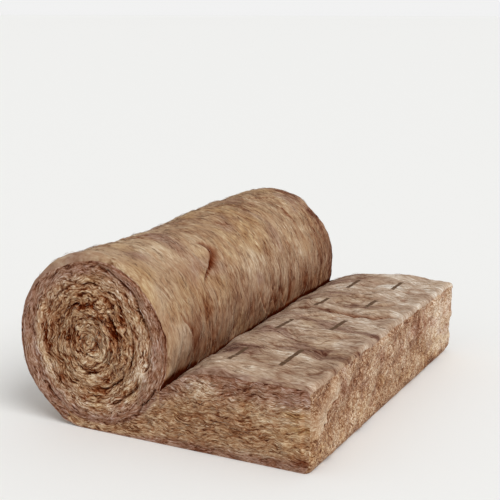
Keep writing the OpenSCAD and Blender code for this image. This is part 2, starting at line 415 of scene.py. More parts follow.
def wool_finish(name, shades, strand, clump, cross, contrast=1.0, splits=0.3, coarse=1.0, marks=None):
    """Glass wool in its brown binder: matt, with strands from cream to brown, and painted shade, red brown,
    in its gaps.

    strand and clump are the lengths that one strand and one clump take up along x, y and z of "lay", and
    cross is the axis about which half of the strands lie askew. contrast is how much the strands differ,
    splits how dark the painted shade in the splits between them is, and coarse how much the large patterns
    tell.
    """
    material = bpy.data.materials.new(name)
    material.use_nodes = True
    tree = material.node_tree
    tree.nodes.clear()
    lay = add(tree, "Attribute", attribute_name="lay").outputs["Vector"]
    askew = add(tree, "VectorRotate", {"Vector": lay, "Axis": cross, "Angle": math.radians(ASKEW)}).outputs[0]
    read = ("painted_shade_and_red", "tone", "mauve", "gold", "lively")
    stain = {key: add(tree, "Attribute", attribute_name=key).outputs["Fac"] for key in read}

    # Each pattern: its coordinates, the size of one streak or clump, its detail, how wavy it is and how much
    # it tells. Each is shifted by its own distance, so that no two line up.
    patterns = {
        "strands": (lay, strand, 4.0, 0.5, 0.62),
        "crossing": (askew, strand, 4.0, 0.5, 0.50),
        "bundles": (lay, [BUNDLE_SIZE * s for s in strand], 3.0, 0.4, 0.50 * coarse),
        "clumps": (lay, clump, 3.0, 0.6, 0.36 * coarse),
        "hairs": (askew, [HAIR_SIZE * s for s in strand], 2.0, 0.3, 0.40),
    }
    seen = {}
    level = None
    for number, (key, (place, size, detail, twist, weight)) in enumerate(patterns.items()):
        cells = {0: place, 1: [1 / s for s in size], 2: [5.3 * number] * 3}
        scaled = add(tree, "VectorMath", cells, operation="MULTIPLY_ADD").outputs[0]
        look = {"Vector": scaled, "Scale": 1.0, "Detail": detail, "Roughness": 0.6, "Distortion": twist}
        seen[key] = add(tree, "TexNoise", look).outputs["Fac"]
        centred = add(tree, "Math", {0: seen[key], 1: 0.5}, operation="SUBTRACT").outputs[0]
        summed = {0: centred, 1: 2.1 * weight * contrast, 2: 0.5 if level is None else level}
        level = add(tree, "Math", summed, operation="MULTIPLY_ADD").outputs[0]
    # Thin dark splits between bundles of strands, which open and close along their length: painted shade in
    # the gaps.
    cells = {0: lay, 1: [1 / SPLIT_SIZE / s for s in strand], 2: [41.7] * 3}
    scaled = add(tree, "VectorMath", cells, operation="MULTIPLY_ADD").outputs[0]
    look = {"Vector": scaled, "Scale": 1.0, "Detail": 3.0, "Roughness": 0.55, "Distortion": 0.5}
    off = add(tree, "Math", {0: add(tree, "TexNoise", look).outputs["Fac"], 1: 0.5}, operation="SUBTRACT")
    off = add(tree, "Math", {0: off.outputs[0]}, operation="ABSOLUTE")
    split = add(tree, "MapRange", {"Value": off.outputs[0], "From Max": 0.07, "To Min": 1.0, "To Max": 0.0})
    opened = add(tree, "MapRange", {"Value": seen["bundles"], "From Min": 0.42, "From Max": 0.60})
    split = add(tree, "Math", {0: split.outputs[0], 1: opened.outputs[0]}, operation="MULTIPLY").outputs[0]
    level = add(tree, "Math", {0: split, 1: -splits, 2: level}, operation="MULTIPLY_ADD").outputs[0]
    level = add(tree, "Math", {0: level, 1: 0.5}, operation="SUBTRACT").outputs[0]
    toned = {0: level, 1: stain["lively"], 2: stain["tone"]}
    level = add(tree, "Math", toned, operation="MULTIPLY_ADD").outputs[0]
    level = add(tree, "Math", {0: level, 1: 0.5}, operation="ADD").outputs[0]
    # Painted shade: the more a point gets, the further down the browns it lies.
    deepened = {0: stain["painted_shade_and_red"], 1: -DEEP_SHADE, 2: level}
    level = add(tree, "Math", deepened, operation="MULTIPLY_ADD").outputs[0]
    browns = add(tree, "ValToRGB", {"Fac": level})
    stops = browns.color_ramp.elements
    while len(stops) < len(shades):
        stops.new(0.5)
    for stop, place, shade in zip(stops, BROWN_PLACES, shades):
        stop.position = place
        stop.color = linear(shade)
    colour = browns.outputs["Color"]
    for key, shade in STAINS:
        stained = {"Factor": stain[key], 6: colour, 7: linear(shade)}
        colour = add(tree, "Mix", stained, data_type="RGBA", blend_type="MULTIPLY").outputs[2]
    if marks:
        colour = marks(tree, colour)

    # Strands stand a little out of the gaps beside them. Where the painted shade is deep, the gloss and the
    # fuzz fade too.
    height = add(tree, "Math", {0: seen["hairs"], 1: 0.6, 2: seen["strands"]}, operation="MULTIPLY_ADD")
    height = add(tree, "Math", {0: seen["crossing"], 1: 0.7, 2: height.outputs[0]}, operation="MULTIPLY_ADD")
    height = add(tree, "Math", {0: split, 1: -0.3, 2: height.outputs[0]}, operation="MULTIPLY_ADD")
    bump = add(tree, "Bump", {"Height": height.outputs[0], "Strength": 0.6, "Distance": STRAND_RELIEF})
    gloss = add(tree, "MapRange", {"Value": stain["painted_shade_and_red"], "From Max": 0.6, "To Min": GLOSS, "To Max": 0.0})
    fuzz = add(tree, "MapRange", {"Value": stain["painted_shade_and_red"], "From Max": 0.6, "To Min": FUZZ, "To Max": 0.0})
    rough = add(tree, "MapRange", {"Value": seen["bundles"], "To Min": ROUGHNESS[0], "To Max": ROUGHNESS[1]})
    shader = add(
        tree,
        "BsdfPrincipled",
        {
            "Base Color": colour,
            "Roughness": rough.outputs[0],
            "Normal": bump.outputs[0],
            "IOR": GLASS_IOR,
            "Specular IOR Level": gloss.outputs[0],
            "Sheen Weight": fuzz.outputs[0],
            "Sheen Roughness": 0.6,
        },
    )
    add(tree, "OutputMaterial", {"Surface": shader.outputs[0]})
    return material


# The brushed skin: the eye gets long soft strokes round the roll, on one even shade. Real bundles of fibres
# are 1 to 2 mm wide, too fine to show, so they are drawn 6 mm wide and 34 mm long.
SKIN_STRAND = (0.034, 0.020, 0.0058)  # round the roll, down into the mat and across it
SKIN_CLUMP = (0.06, 0.05, 0.035)
outer_finish = wool_finish(
    "glass_wool_brushed_face", FACE_BROWNS, SKIN_STRAND, SKIN_CLUMP, (0, 1, 0), contrast=0.72
)
make_piece(
    "outer_turn",
    skin.reshape(-1, 3),
    grid_faces(*skin.shape[:2], flip=True),
    outer_finish,
    {
        "lay": np.stack([arc, 0 * arc, slant], axis=-1).reshape(-1, 3),
        "painted_shade_and_red": skin_shade_and_red.ravel(),
        "tone": skin_tone.ravel(),
        "mauve": skin_mauve.ravel(),
        "gold": skin_gold.ravel(),
        "lively": (1.12 - 0.45 * skin_calm).ravel(),
    },
)


# ---------------------------------------------------------------- laid mat
# The free length of the same mat, which springs back to five times the thickness of a wound turn. Its top was
# the inner face of the roll: soft, wrinkled lengthways where it was bent, and marked with rows of printed
# dashes for cutting.
MAT_THICKNESS = 0.245
MAT_CROWN = 0.007  # how much thicker it is halfway across
RECOVERY = 0.200  # length of mat over which it springs back behind the nip
RECOVERY_POWER = 2.6
FAR_SWELL = 0.010  # how much further it springs back at its far edge
CUT_EDGE = 0.012  # radius of the top edge at the cut end
TOP_COLUMNS = 190
EDGE_PARTS = 4


def nip_point(y, inset):
    """x and z of the line along which the laid mat comes out from under the roll."""
    angle = nip_angle(y)
    return around(angle, skin_radius(angle, y) - shoulder_inset(angle, y, inset))


def laid_top(x, y, inset):
    """Height of the laid mat's top face."""
    nip_x, nip_z = nip_point(y, inset)
    full = MAT_THICKNESS + MAT_CROWN * (1 - (y / half_width) ** 2) - inset / 2
    share = np.clip((x - nip_x) / RECOVERY, 0, 1)
    full = full + FAR_SWELL * ramp(y, 0.20, half_width) * ramp(x - nip_x, 0.02, 0.20)
    return nip_z + (full - nip_z) * (1 - (1 - share) ** RECOVERY_POWER)


# Points of the top, closer together behind the nip, and of the rounded edge at the cut.
share = np.linspace(0, 1, TOP_COLUMNS + 1)[None, :] ** 1.12
inset = row_inset[:, None]
nip_x, _ = nip_point(row_y[:, None], inset)
cut_x = mat_high[0] - inset / 2
x = nip_x + (cut_x - CUT_EDGE - nip_x) * share
z = laid_top(x, row_y[:, None], inset)
edge_turn = np.linspace(0, math.pi / 2, EDGE_PARTS + 1)[None, 1:]
edge_x = cut_x - CUT_EDGE * (1 - np.sin(edge_turn))
edge_z = laid_top(edge_x, row_y[:, None], inset) - CUT_EDGE * (1 - np.cos(edge_turn))
x, z = np.concatenate([x, edge_x], axis=1), np.concatenate([z, edge_z], axis=1)
y = row_y[:, None] + 0 * x
top = np.stack([x, y, z], axis=-1)
top_outline = {"near": top[0].copy(), "far": top[-1].copy()}
edge_line = top[:, -1].copy()


def wander(x, y):
    """Which fibre of the laid mat lies at a point: they run lengthways, and drift a little to one side."""
    drift = y + 0.024 * bumps(x / 0.15, y / 0.12, 0.2, 71) + 0.008 * bumps(x / 0.05, y / 0.05, 0.2, 57)
    return drift + 0.10 * (x - 0.2)


# Each fold: places along the mat, the place across it at each, and its depth.
FOLDS = (
    (
        (0.060, 0.115, 0.154, 0.205, 0.277, 0.327, 0.374, 0.409, 0.455),
        (0.066, 0.067, 0.071, 0.067, 0.059, 0.056, 0.055, 0.062, 0.080),
        0.015,
    ),
    ((0.190, 0.260, 0.333, 0.389, 0.446), (-0.209, -0.212, -0.206, -0.187, -0.178), 0.007),
    ((0.160, 0.230), (-0.075, 0.010), 0.008),
    ((0.194, 0.223, 0.285, 0.335), (0.219, 0.260, 0.266, 0.266), 0.009),
    ((0.280, 0.347, 0.400), (0.179, 0.185, 0.222), 0.008),
    ((0.120, 0.200, 0.300, 0.440), (0.440, 0.480, 0.470, 0.500), 0.006),
    ((0.150, 0.240, 0.340, 0.440), (-0.300, -0.335, -0.330, -0.350), 0.005),
)

MARK_PITCH = 0.150  # between two rows of dashes, and between a dash's middle and the gap's
MARK_LENGTH = 0.120
MARK_WIDTH = 0.014
MARK_CREEP = 0.072  # how far the soft face has carried the last row along, halfway across
MARK_FAR_CREEP = 0.032  # and how far it has drawn both rows in over the far half
MARK_FAR_REACH = 0.4  # the distance across at which they are drawn in that far
LAST_ROW = (0.23, 0.22)  # distance from the cut end at which the creep of the last row starts, and is full


def wrinkles(x, y):
    """Relief of the soft top face: long wrinkles, and folds that each have a swollen lip on the far side.

    The mat lies flatter at each dash, where the printing wheel has pressed it. It also gives how deep each
    point lies in a furrow, for the painted shade there.
    """
    fibre = wander(x, y)
    row = np.abs((mat_high[0] - x + MARK_PITCH / 2) % MARK_PITCH - MARK_PITCH / 2)
    crept = y - MARK_CREEP * np.cos(y * math.pi / 2 / half_width) * (x > mat_high[0] - LAST_ROW[1])
    crept = crept + MARK_FAR_CREEP * np.clip(y / MARK_FAR_REACH, 0, 1)
    dash = np.abs((crept + half_width) % (2 * MARK_PITCH) - MARK_PITCH)
    printed = (1 - ramp(row, 0.014, 0.034)) * (1 - ramp(dash, 0.055, 0.085))
    printed = printed * ramp(mat_high[0] - x, 0.08, 0.11) * (1 - ramp(mat_high[0] - x, 0.36, 0.40))
    pillow = np.abs(layers(x / 0.16, fibre / 0.085, 0.5, 88, 3)) ** 0.8
    small = np.abs(layers(x / 0.07, fibre / 0.034, 0.5, 89, 2)) ** 0.8
    relief = 0.0070 * layers(x / 0.17, fibre / 0.085, 0.5, 72, 2) + 0.0135 * (pillow - 0.3)
    relief = relief + 0.0048 * (small - 0.3)
    relief = relief * (1 - 0.75 * printed) * (1 - 0.65 * ramp(x, mat_high[0] - 0.07, mat_high[0] - 0.015))
    open_line = ramp(layers(x / 0.10, y / 0.08, 0.5, 91, 2), -0.3, 0.4) * (1 - 0.8 * printed)
    furrow = (0.50 * bell(pillow, 0, 0.12) + 0.16 * bell(small, 0, 0.12)) * open_line
    for number, (along, across, depth) in enumerate(FOLDS):
        beside = y - np.interp(x, along, across) + 0.006 * bumps(x / 0.030, y / 0.03, number, 74)
        ends = ramp(x, along[0] - 0.01, along[0] + 0.05) * (1 - ramp(x, along[-1] - 0.04, along[-1] + 0.02))
        ends = ends * (1 - 0.85 * printed)
        groove = bell(beside, 0, 0.65 * depth + 0.005) * ends
        groove = groove * (0.8 + 0.45 * bumps(x / 0.05, 0.5, number, 51))
        lip = bell(beside - 2.2 * depth, 0.006, 1.5 * depth + 0.008) * ends
        relief = relief + 0.6 * depth * lip - depth * groove
        furrow = np.maximum(furrow, groove * min(depth / 0.012, 1)) - 0.25 * lip
    return relief, furrow


# The relief lifts the top straight up. It dies out in the nip and at the trimmed edges.
past_nip = x - nip_x
to_side = ramp(half_width - np.abs(y), 0, 0.012)
top_free = ramp(past_nip, 0, 0.03) * to_side
fibre = wander(x, y)
folded, furrow = wrinkles(x, y)
strands = 0.0013 * layers(x / 0.035, fibre / 0.007, 0.5, 73, 2)
top_shape = folded * top_free + strands * top_free * ramp(mat_high[0] - x, CUT_EDGE, 0.02)
top = top + soft_shift(top)
top[..., 2] += top_shape

# Painted shade in the furrows and the nip, from a painted highlight of -0.7 on a raised fold to 1.4 in the
# nip.
top_shade_and_red = np.clip(0.45 * furrow - 20 * folded - 60 * strands - 0.10, -0.7, 0.6)
# The painted shade of the nip reaches further at the near end.
top_nip_shade_reach = 1 + 1.0 * ramp(-y, 0.30, 0.50)
nip_shade = 1.4 * (1 - ramp(past_nip, 0.003 * top_nip_shade_reach, 0.016 * top_nip_shade_reach))
top_shade_and_red = np.maximum(top_shade_and_red, nip_shade)
corner = np.exp(-(((x - mat_high[0]) / 0.05) ** 2 + ((y - mat_low[1]) / 0.06) ** 2))
top_shade_and_red = top_shade_and_red * (1 - 0.8 * corner) + 0.1 * corner + 0.04 * (1 - ramp(y, -0.45, -0.10))

# Lighter and darker streaks, which fade along the near edge and over the far end. The trimmed edges are worn.
top_calm = 1 - 0.6 * ramp(-y, 0.38, 0.50) - 0.4 * ramp(y, 0.1, 0.3) * ramp(x, 0.25, 0.38)
top_tone = 0.54 * top_calm * layers(x / 0.15, fibre / 0.055, 0.6, 78, 3) + 0.03
# Next to the nip the top is painted darker: painted shade.
top_tone = top_tone - 0.12 * (1 - ramp(past_nip, 0.02, 0.14))
top_tone = top_tone + 0.10 * np.exp(-(((x - 0.20) / 0.10) ** 2 + ((y - 0.38) / 0.13) ** 2))
top_tone = top_tone + 0.20 * ramp(x + 0.3 * y, 0.28, 0.50) * ramp(y, -0.05, 0.25)
top_tone = top_tone + 0.10 * ramp(-y, 0.38, 0.50) * ramp(x, 0.1, 0.25)
worn_edge = 1 - ramp(half_width - np.abs(y), 0.004, 0.034)
worn_edge = worn_edge * ramp(layers(x / 0.05, y / 0.03, 0.5, 49, 2), -0.5, 0.3)
top_tone = top_tone - 0.14 * worn_edge
top_mauve = np.maximum(ramp(-top_tone, -0.05, 0.15) * 0.7, 0.18)
# The furrows are painted darker: painted shade.
top_tone = top_tone - 0.30 * np.maximum(furrow, 0)
top_mauve = np.maximum(top_mauve, 0.8 * worn_edge) * ramp(past_nip, 0.02, 0.06)
top_gold = 0.4 * ramp(layers(x / 0.12, y / 0.12, 0.2, 79), 0.1, 0.8) + 0.18 * (1 - ramp(y, -0.45, -0.15))

# The ink has run along the fibres by 1 to 2 mm, in tongues about 7 mm apart.
INK = "#5a4029"
INK_TONGUES = 140.0  # for each metre
INK_RUN = 0.004
INK_EDGE = (0.0030, 0.0012)  # how far outside a dash there is no ink, and how far outside it is all ink
INK_LIMITS = (("Z", 0.10, 0.11), ("X", 0.42, 0.40))  # an axis, where there is no ink, and where all of it


def cutting_marks(tree, colour):
    """The printed dashes: dark ink that the fibres have drawn in, so that its edges are uneven."""
    place = add(tree, "TexCoord").outputs["Object"]
    axes = add(tree, "SeparateXYZ", {0: place}).outputs
    fuzz = add(tree, "TexNoise", {"Vector": place, "Scale": INK_TONGUES, "Detail": 3.0}).outputs["Fac"]
    curve = add(tree, "Math", {0: axes["Y"], 1: math.pi / mat_high[1] / 2}, operation="MULTIPLY").outputs[0]
    curve = add(tree, "Math", {0: curve}, operation="COSINE").outputs[0]
    starts, full = (mat_high[0] - distance for distance in LAST_ROW)
    last_row = add(tree, "MapRange", {"Value": axes["X"], "From Min": starts, "From Max": full})
    creep = add(tree, "Math", {0: curve, 1: last_row.outputs[0]}, operation="MULTIPLY").outputs[0]
    crept = add(tree, "Math", {0: creep, 1: -MARK_CREEP, 2: axes["Y"]}, operation="MULTIPLY_ADD").outputs[0]
    far_half = {"Value": axes["Y"], "From Max": MARK_FAR_REACH, "To Max": MARK_FAR_CREEP}
    drawn = add(tree, "MapRange", far_half)
    crept = add(tree, "Math", {0: crept, 1: drawn.outputs[0]}, operation="ADD").outputs[0]
    inked = 1.0
    for axis, start, way, pitch, reach in (
        (axes["X"], mat_high[0], -1, MARK_PITCH / 2, MARK_WIDTH / 2),
        (crept, half_width + MARK_PITCH, 1, MARK_PITCH, MARK_LENGTH / 2),
    ):
        along = add(tree, "Math", {0: axis, 1: way, 2: start}, operation="MULTIPLY_ADD")
        off = add(tree, "Math", {0: along.outputs[0], 1: pitch}, operation="PINGPONG")
        off = add(tree, "Math", {0: fuzz, 1: INK_RUN, 2: off.outputs[0]}, operation="MULTIPLY_ADD")
        edge = {"Value": off.outputs[0], "From Min": reach + INK_EDGE[0], "From Max": reach + INK_EDGE[1]}
        inside = add(tree, "MapRange", edge)
        inked = add(tree, "Math", {0: inside.outputs[0], 1: inked}, operation="MULTIPLY").outputs[0]
    for axis, bare, printed in INK_LIMITS:
        there = add(tree, "MapRange", {"Value": axes[axis], "From Min": bare, "From Max": printed})
        inked = add(tree, "Math", {0: there.outputs[0], 1: inked}, operation="MULTIPLY").outputs[0]
    return add(tree, "Mix", {"Factor": inked, 6: colour, 7: linear(INK)}, data_type="RGBA").outputs[2]


# The soft inner face is greyer and paler than the skin, since less binder reached it. The eye gets blurred
# strokes along the mat: bundles of 2 mm, drawn 7.5 mm wide and 34 mm long so that they show.
TOP_BROWNS = ("#5e3828", "#7e5b45", "#967961", "#a98f78", "#b59d86", "#c4af99", "#d6c8b4", "#e8dfd1")
TOP_STRAND = (0.034, 0.0075, 0.020)  # along the mat, across it and down into it
TOP_CLUMP = (0.08, 0.040, 0.04)
top_finish = wool_finish(
    "glass_wool_soft_face", TOP_BROWNS, TOP_STRAND, TOP_CLUMP, (0, 0, 1), contrast=0.74, marks=cutting_marks
)
make_piece(
    "laid_top",
    top.reshape(-1, 3),
    grid_faces(*top.shape[:2]),
    top_finish,
    {
        "lay": np.stack([x, fibre, z], axis=-1).reshape(-1, 3),
        "painted_shade_and_red": top_shade_and_red.ravel(),
        "tone": top_tone.ravel(),
        "mauve": top_mauve.ravel(),
        "gold": top_gold.ravel(),
    },
)


# ---------------------------------------------------------------- cut end
# The end of the laid mat, cut across with a long knife: the ends of the brown glass fibres stand out all over
# it in clumps and pits, and the blade has dragged a few down in upright streaks.
CUT_ROWS = 104
FOOT = 0.015  # how far the cut draws in at the floor
FOOT_HEIGHT = 0.034
FLAP_EDGE = ((-0.600, -0.558, -0.510, -0.500, -0.480, -0.420), (0.092, 0.108, 0.121, 0.144, 0.163, 0.156))

# Points of the cut, in columns that hang from the laid mat's top edge to the floor.
down = np.linspace(1, 0, CUT_ROWS + 1)[None, :]
cut = edge_line[:, None] * np.array([1, 1, 0])
cut = cut + (edge_line[:, None, 2] * down)[..., None] * np.array([0, 0, 1])
cut[..., 0] -= FOOT * (1 - np.clip(cut[..., 2] / FOOT_HEIGHT, 0, 1)) ** 2
cut_outline = {"near": cut[0].copy(), "far": cut[-1].copy()}

x, y, z = cut[..., 0], cut[..., 1], cut[..., 2]
top_z = cut[:, :1, 2] + 0 * z
from_top = top_z - z
cut_free = to_side[:, :1] * ramp(z, 0, 0.02) * ramp(from_top, 0, 0.010)

# Relief, from mounds 60 mm across down to pits of 6 mm: real fibre ends stand 1 mm apart, and these are as
# fine as the mesh can hold. At the near corner a flap of wool hangs down over the cut.
mounds = 0.0085 * layers(x / 0.06, y / 0.065, z / 0.055, 84, 2)
clumps = 0.0036 * layers(x / 0.03, y / 0.024, z / 0.028, 75, 3)
streaks = 0.0018 * layers(x / 0.03, y / 0.010, z / 0.030, 80, 2)
pits = 0.0016 * layers(x / 0.008, y / 0.0060, z / 0.0065, 76, 2)
flap_edge = np.interp(y, *FLAP_EDGE)
above_flap_edge = z - flap_edge + 0.004 * bumps(y / 0.012, z / 0.012, 0.5, 85)
flap_side = 1 - ramp(y, -0.47, -0.41)
flap = ramp(above_flap_edge, -0.002, 0.003) * (1 - ramp(above_flap_edge, 0.05, 0.09)) * flap_side
under_flap = bell(above_flap_edge, -0.004, 0.004) * flap_side
carried = wrinkles(x, y)[0] * to_side[:, :1] * ramp(z / top_z, 0.6, 1.0)
cut = cut + soft_shift(cut)
cut[..., 0] += (mounds + clumps + streaks + pits + 0.007 * flap - 0.006 * under_flap) * cut_free
cut[..., 2] += carried

# Just below the top edge the shade of its overhang is painted on, and below that a broken band is
# painted darker, redder and more mauve.
overhang_shade = bell(from_top, 0.005, 0.006) * ramp(bumps(y / 0.03, z / 0.06, 0.4, 86), -0.4, 0.3)
top_band = bell(from_top, 0.055, 0.042) * ramp(layers(y / 0.05, z / 0.05, 0.4, 87, 2), -0.3, 0.5)
# Mounds, clumps and streaks that stand out are painted lighter and pits darker: painted highlights and shade.
cut_shade_and_red = -22 * mounds - 50 * clumps - 50 * streaks - 110 * pits
at_flap = 1 - ramp(y, -0.50, -0.40)
overhang_shade, top_band = overhang_shade * (1 - at_flap), top_band * (1 - 0.8 * at_flap)
# The line under the flap's edge is painted shade, and the flap a painted highlight.
cut_shade_and_red = np.where(flap > 0.5, 0.4 * cut_shade_and_red, cut_shade_and_red) + 0.8 * under_flap - 0.3 * flap
cut_shade_and_red = cut_shade_and_red + 0.12 * overhang_shade + 0.36 * top_band
cut_shade_and_red = np.where(cut_shade_and_red > 0, 0.8, 1.0) * cut_shade_and_red
to_corner = half_width - np.abs(y)
cut_shade_and_red = np.clip(cut_shade_and_red, -0.7, 1.0) * (0.15 + 0.85 * ramp(to_corner, 0.003, 0.020))
cut_mauve = np.maximum(0.5 * ramp(layers(x / 0.05, y / 0.05, z / 0.035, 81), 0.15, 0.6), 0.7 * top_band)
pale = 0.30 * ramp(y, 0.24, 0.42) * ramp(z, 0.02, 0.06)
cut_tone = 0.27 * layers(x / 0.07, y / 0.075, z / 0.060, 82, 2) + 0.05 * flap + 0.05 + pale
# Along the floor the cut is painted darker: painted shade.
cut_tone = cut_tone - 0.14 * (1 - ramp(z, 0.01, 0.05))
cut_gold = 0.15 + 0.45 * ramp(layers(x / 0.05, y / 0.08, z / 0.06, 83), 0.0, 0.6)
cut_gold = cut_gold * (1 - cut_mauve) * (1 - ramp(z, 0.08, 0.16))

# Knife-cut wool: the eye gets a lively speckle of cream fibre ends and dark holes. The ends of real bundles
# are 1 to 2 mm across, too fine to show, so they are drawn 4.4 by 5.2 mm.
CUT_BROWNS = ("#4e2612", "#78492e", "#916848", "#a67f5e", "#b59274", "#c8ab8d", "#dcc5ab", "#ebdcc8")
CUT_STRAND = (0.010, 0.0044, 0.0052)  # into the mat, across it and up
CUT_CLUMP = (0.03, 0.030, 0.026)
cut_finish = wool_finish(
    "glass_wool_knife_cut",
    CUT_BROWNS,
    CUT_STRAND,
    CUT_CLUMP,
    (1, 0, 0),
    contrast=1.6,
    splits=0.6,
    coarse=0.66,
)
make_piece(
    "cut_end",
    cut.reshape(-1, 3),
    grid_faces(*cut.shape[:2]),
    cut_finish,
    {
        "lay": np.stack([x, y, z], axis=-1).reshape(-1, 3),
        "painted_shade_and_red": cut_shade_and_red.ravel(),
        "tone": cut_tone.ravel(),
        "mauve": cut_mauve.ravel(),
        "gold": cut_gold.ravel(),
        "lively": (0.85 - 0.4 * flap).ravel(),
    },
)


# ---------------------------------------------------------------- ends of the mat
# The mat's two long edges, trimmed as it was made. They show its layers of fibre edge on: pressed tight and
# wound round in the roll, with a gap here and there between two turns, and lying level in the laid part.
CORE_RADIUS = 0.026  # at which the innermost turn ends
CORE_HOLE = (0.014, -0.018)  # x and z of a small hole beside the core, from the core
CORE_HOLE_RADIUS = 0.009
CORE_HOLE_DEPTH = 0.008
GAP_WIDTH = 0.0014  # half the width of a closed gap between two turns, and of what opening it adds
GAP_DEPTH = 0.011
TURN_SWELL = 0.004  # how far the wool of one turn stands out between two gaps
LAID_SWELL = 0.009  # how far the side of the laid part stands out halfway up
SHEET = 0.0075  # thickness of one sheet of fibre
FOLD = 0.026  # thickness of a fold of such sheets
RINGS = 165
FLOOR_COLUMNS = 60
WINDING_SLIP = (-0.010, -0.020)  # how far the innermost turns have slipped along x and z under their weight
SLIP_REACH = 0.205  # distance from the core at which no slip is left


def angle_and_radius(x, z):
    """What around() takes for a point of the section; the angle starts where the roll leaves the floor."""
    tilt = CORE_LIFT / ROLL_RADIUS
    left = (roll_x - x) / ROLL_WIDTH_SHARE
    down = core_height - z
    bend = tilt * down
    radius = (np.sqrt(bend**2 + (1 - tilt**2) * (left**2 + down**2)) - bend) / (1 - tilt**2)
    angle = np.degrees(np.arctan2(left, down - tilt * radius))
    return (angle - lift_off) % 360 + lift_off, radius


def wound_place(x, z):
    """Angle and radius round the roll, where the inner turns have slipped."""
    _, radius = angle_and_radius(x, z)
    slipped = np.clip(1 - (radius / SLIP_REACH) ** 2, 0, 1)
    return angle_and_radius(x - WINDING_SLIP[0] * slipped, z - WINDING_SLIP[1] * slipped)


# Each patch on the near side of the laid part: x, z, half its size in both, how much lighter it is, how
# much it adds to the painted shade, which darkens and reddens (below 0, lightens), and how much more mauve
# and golden it is.
NEAR_PATCHES = (
    (0.145, 0.198, 0.045, 0.016, 0.14, -0.2, -0.9, 0.0),
    (0.120, 0.172, 0.040, 0.012, 0.08, -0.1, -0.7, 0.0),
    (0.255, 0.238, 0.080, 0.012, 0.0, 0.12, 0.5, 0.0),
    (0.372, 0.235, 0.050, 0.006, -0.03, 0.30, 0.5, 0.0),
    (0.446, 0.224, 0.024, 0.013, -0.02, 0.28, 0.8, 0.0),
    (0.424, 0.158, 0.034, 0.009, -0.12, 0.0, -0.6, 1.0),
    (0.449, 0.121, 0.027, 0.008, -0.14, 0.0, -0.6, 1.0),
    (0.434, 0.033, 0.030, 0.014, 0.0, 0.15, 0.8, 0.0),
    (0.354, 0.134, 0.050, 0.020, 0.07, -0.1, -0.3, 0.0),
)

# Each patch on the near end of the roll: x, z, half its length along the turn and half its width across it,
# how much lighter it is, and how much it adds to the painted shade, which darkens and reddens (below 0,
# lightens).
WOUND_PATCHES = (
    (-0.219, 0.369, 0.036, 0.009, -0.05, 0.60),
    (-0.379, 0.261, 0.045, 0.009, -0.03, 0.50),
    (-0.348, 0.314, 0.035, 0.008, -0.02, 0.50),
    (-0.134, 0.275, 0.055, 0.010, -0.02, 0.36),
    (-0.100, 0.250, 0.040, 0.006, -0.02, 0.36),
    (-0.320, 0.135, 0.030, 0.015, -0.03, 0.50),
    (-0.203, 0.247, 0.020, 0.007, -0.05, 0.60),
    (-0.213, 0.162, 0.030, 0.008, 0.36, -0.50),
    (-0.049, 0.209, 0.070, 0.018, 0.12, -0.10),
    (-0.383, 0.175, 0.070, 0.018, 0.10, -0.10),
    (-0.189, 0.078, 0.100, 0.012, 0.10, -0.10),
    (-0.278, 0.440, 0.035, 0.014, 0.02, -0.10),
    (-0.190, 0.470, 0.110, 0.018, -0.13, 0.06),
    (-0.388, 0.308, 0.050, 0.010, -0.10, 0.08),
    (-0.040, 0.322, 0.060, 0.012, -0.08, 0.06),
)

# The trimmed edge: the layers of fibre show as strokes that follow the mat, cream on dark splits. Real layers
# are 1 to 2 mm thick, too fine to show, so they are drawn 4.4 mm thick and 18 mm long.
END_STRAND = (0.018, 0.0044, 0.018)  # along x, through the mat's thickness and along z
END_CLUMP = (0.05, 0.022, 0.05)
end_finish = wool_finish(
    "glass_wool_trimmed_edge",
    CUT_BROWNS,
    END_STRAND,
    END_CLUMP,
    (0, 1, 0),
    contrast=1.5,
    splits=0.9,
    coarse=0.33,
)

# The line along which the laid mat runs on under the wound one.
joint_angle = np.linspace(360 + lift_off, NIP_MIDDLE - 15, 200)
joint_x, joint_z = around(joint_angle, face_radius(joint_angle))
floor_lines = {}
end_grids = []

